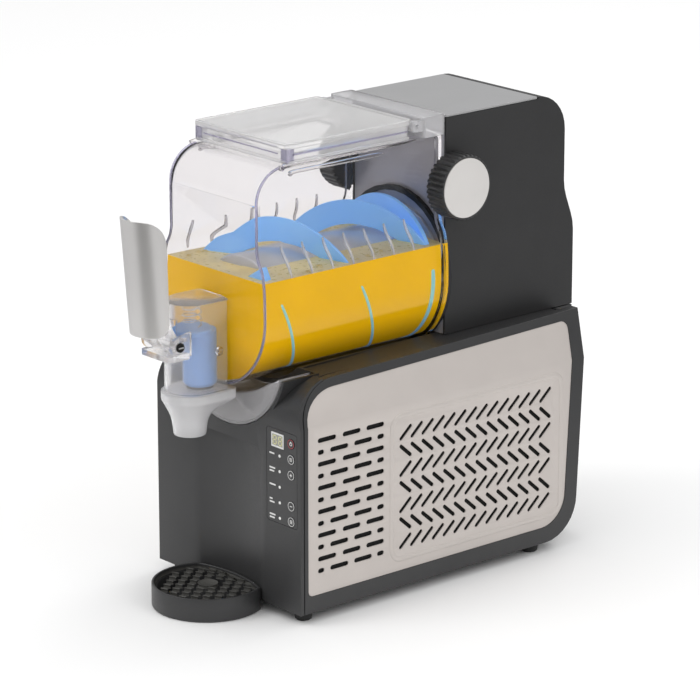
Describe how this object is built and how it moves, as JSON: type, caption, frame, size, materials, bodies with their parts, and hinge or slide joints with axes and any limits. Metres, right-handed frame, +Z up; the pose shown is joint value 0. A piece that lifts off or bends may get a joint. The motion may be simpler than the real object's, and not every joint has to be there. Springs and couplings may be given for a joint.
{
  "type": "slush machine",
  "caption": "Counter-top frozen drink machine: clear bowl with spiral auger round a chilled drum, hinged lid, lever tap, vented housing and drip tray.",
  "frame": {"origin": "on the table under the middle of the machine's overall box, half-way between the lever's front and the tower's back", "axes": "+X from the plain side to the control panel's side, +Y from the tap to the back, +Z up"},
  "size_m": [0.2072, 0.4864, 0.44],
  "materials": {
    "black_plastic": "fine-grained satin black",
    "dark_plastic": "smooth satin charcoal",
    "silver_plate": "warm silver paint on perforated sheet",
    "top_plate": "satin grey",
    "satin_silver": "metallic satin silver",
    "clear_plastic": "clear moulded plastic",
    "frosted_plastic": "lightly frosted moulded plastic",
    "blue_plastic": "satin blue",
    "steel": "satin stainless",
    "rubber": "matte black",
    "painted_steel": "black enamel",
    "aluminium_fin": "bare fins",
    "circuit_board": "green solder mask",
    "display_glass": "tinted window with lit digits",
    "lamp_white": "white diffuser"
  },
  "bodies": {
    "housing": {"base_plate": "painted_steel", "front_shell": "black_plastic", "left_side_cover": "black_plastic", "right_side_cover": "black_plastic", "left_vent_plate": "silver_plate", "right_vent_plate": "silver_plate", "rear_panel": "black_plastic", "power_inlet": "dark_plastic", "foot_front_left": "rubber", "foot_front_right": "rubber", "foot_rear_left": "rubber", "foot_rear_right": "rubber", "tower_shell": "dark_plastic", "tower_front_panel": "dark_plastic", "tower_top_plate": "top_plate", "evaporator_drum": "steel", "shaft_bush": "frosted_plastic", "shaft_seal": "rubber", "gear_motor": "steel", "motor_bracket": "painted_steel", "compressor": "painted_steel", "condenser": "aluminium_fin", "fan_shroud": "dark_plastic", "fan_motor": "steel", "control_board": "circuit_board", "control_overlay": "dark_plastic", "display_window": "display_glass", "led_light_pipe": "lamp_white"},
    "auger_drive": {"auger": "blue_plastic", "drive_shaft": "steel"},
    "fan": {"fan_rotor": "dark_plastic"},
    "left_knob": {"left_lock_knob": "black_plastic", "left_knob_cap": "satin_silver", "left_lock_shaft": "steel"},
    "right_knob": {"right_lock_knob": "black_plastic", "right_knob_cap": "satin_silver", "right_lock_shaft": "steel"},
    "bowl_unit": {"bowl": "clear_plastic", "hopper_rear_cover": "clear_plastic", "bowl_seal": "rubber", "tap_body": "frosted_plastic", "nozzle": "frosted_plastic", "lid_hinge_pin": "steel", "handle_pin": "steel", "condensate_catch": "clear_plastic", "valve_spring": "steel"},
    "lid_cover": {"lid": "clear_plastic"},
    "lever": {"tap_handle": "satin_silver", "handle_carrier": "frosted_plastic"},
    "piston": {"valve_piston": "blue_plastic", "piston_seal": "rubber"},
    "tray": {"drip_tray": "black_plastic"},
    "grille": {"drip_grille": "black_plastic"},
    "power_key": {"power_button": "dark_plastic"},
    "mode_key": {"mode_button": "dark_plastic"},
    "plus_key": {"plus_button": "dark_plastic"},
    "minus_key": {"minus_button": "dark_plastic"},
    "wash_key": {"wash_button": "dark_plastic"}
  },
  "joints": [
    {"name": "auger_turn", "type": "hinge", "parent": "housing", "child": "auger_drive", "pos_m": [0, 0, 0.2844], "axis": [0, 1, 0], "continuous": true},
    {"name": "fan_turn", "type": "hinge", "parent": "housing", "child": "fan", "pos_m": [0.049, 0.10525, 0.1], "axis": [1, 0, 0], "continuous": true},
    {"name": "left_knob_turn", "type": "hinge", "parent": "housing", "child": "left_knob", "pos_m": [-0.0668, 0.08375, 0.3726], "axis": [-1, 0, 0], "range_deg": [0, 90]},
    {"name": "right_knob_turn", "type": "hinge", "parent": "housing", "child": "right_knob", "pos_m": [0.0668, 0.08375, 0.3726], "axis": [1, 0, 0], "range_deg": [0, 90]},
    {"name": "bowl_pull", "type": "slide", "parent": "housing", "child": "bowl_unit", "axis": [0, -1, 0], "range_m": [0, 0.24]},
    {"name": "lid_open", "type": "hinge", "parent": "bowl_unit", "child": "lid_cover", "pos_m": [0, 0.04225, 0.433], "axis": [-1, 0, 0], "range_deg": [0, 95]},
    {"name": "lever_pull", "type": "hinge", "parent": "bowl_unit", "child": "lever", "pos_m": [0, -0.20155, 0.2603], "axis": [1, 0, 0], "range_deg": [0, 45], "stiffness_Nm_per_rad": 1.2, "springref_deg": -17.19},
    {"name": "piston_lift", "type": "slide", "parent": "bowl_unit", "child": "piston", "axis": [0, 0, 1], "range_m": [0, 0.015], "deforming": ["valve_spring"]},
    {"name": "tray_pull", "type": "slide", "parent": "housing", "child": "tray", "axis": [0, -1, 0], "range_m": [0, 0.12]},
    {"name": "grille_lift", "type": "slide", "parent": "tray", "child": "grille", "axis": [0, 0, 1], "range_m": [0, 0.04]},
    {"name": "power_press", "type": "slide", "parent": "housing", "child": "power_key", "axis": [0, 1, 0], "range_m": [0, 0.0008], "stiffness_N_per_m": 1200, "springref_m": -0.0003},
    {"name": "mode_press", "type": "slide", "parent": "housing", "child": "mode_key", "axis": [0, 1, 0], "range_m": [0, 0.0008], "stiffness_N_per_m": 1200, "springref_m": -0.0003},
    {"name": "plus_press", "type": "slide", "parent": "housing", "child": "plus_key", "axis": [0, 1, 0], "range_m": [0, 0.0008], "stiffness_N_per_m": 1200, "springref_m": -0.0003},
    {"name": "minus_press", "type": "slide", "parent": "housing", "child": "minus_key", "axis": [0, 1, 0], "range_m": [0, 0.0008], "stiffness_N_per_m": 1200, "springref_m": -0.0003},
    {"name": "wash_press", "type": "slide", "parent": "housing", "child": "wash_key", "axis": [0, 1, 0], "range_m": [0, 0.0008], "stiffness_N_per_m": 1200, "springref_m": -0.0003}
  ],
  "couplings": [
    {"joint": "piston_lift", "follows": "lever_pull", "m_per_rad": 0.019}
  ]
}
